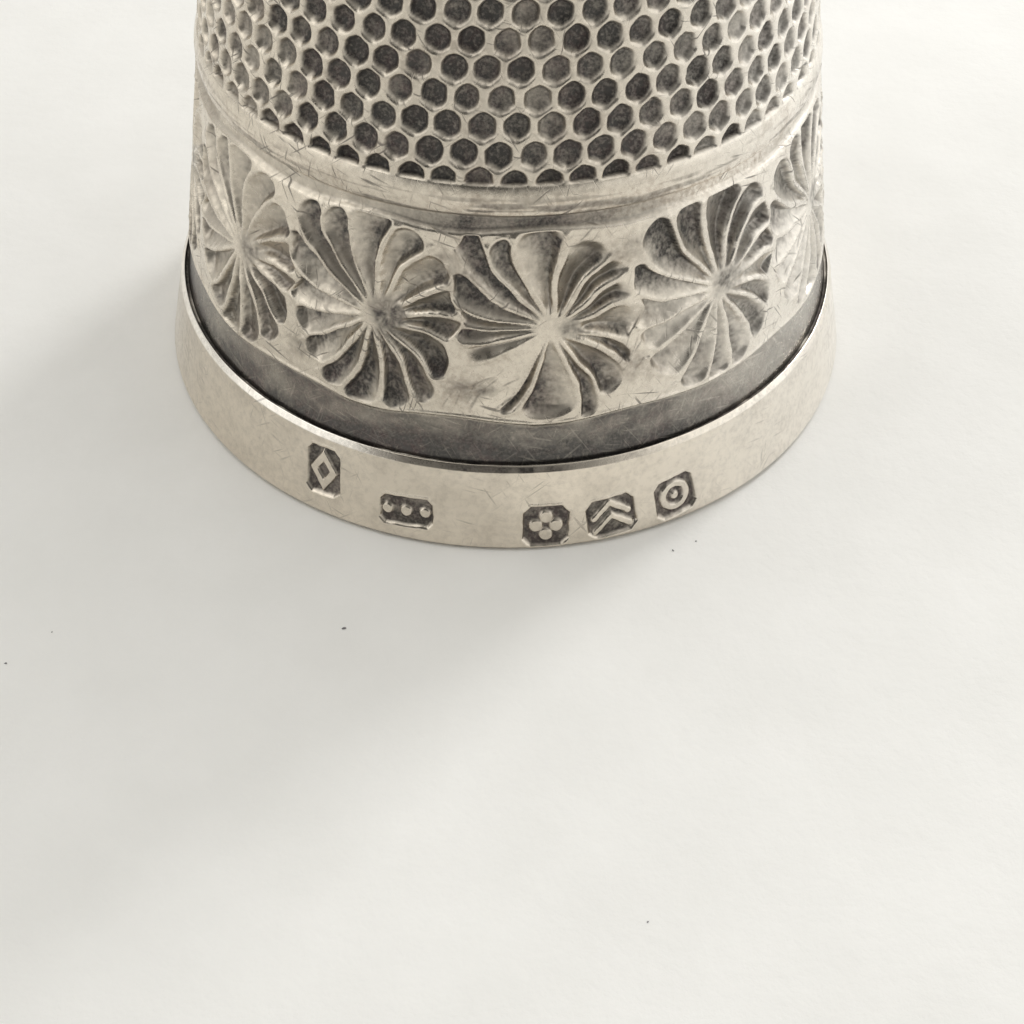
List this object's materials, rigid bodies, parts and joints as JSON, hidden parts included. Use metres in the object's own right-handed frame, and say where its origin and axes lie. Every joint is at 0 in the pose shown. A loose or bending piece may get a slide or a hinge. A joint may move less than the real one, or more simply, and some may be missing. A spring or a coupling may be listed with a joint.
{
  "type": "thimble",
  "caption": "Tapered silver sewing thimble with a dimpled upper wall and crown, a band of pinwheel flowers, a dark cove and a plain applied foot rim.",
  "frame": {"origin": "centre of the mouth, on the plane the rim stands on", "axes": "+Z along the finger axis from the mouth to the crown; -Y faces the pictured side"},
  "size_m": [0.018, 0.018, 0.0215],
  "materials": {
    "wall_silver": "worn silver, bright on raised metal and oxidised dark in the dimples, flower gouges and cove",
    "crown_silver": "worn silver, oxidised dark in the dimples",
    "rim_silver": "polished silver with fine handling scratches",
    "solder": "dull hard silver solder"
  },
  "bodies": {
    "root": {"side_wall": "wall_silver", "crown_cap": "crown_silver", "rim_band": "rim_silver", "rim_solder_seam": "solder", "crown_solder_seam": "solder"}
  },
  "joints": []
}
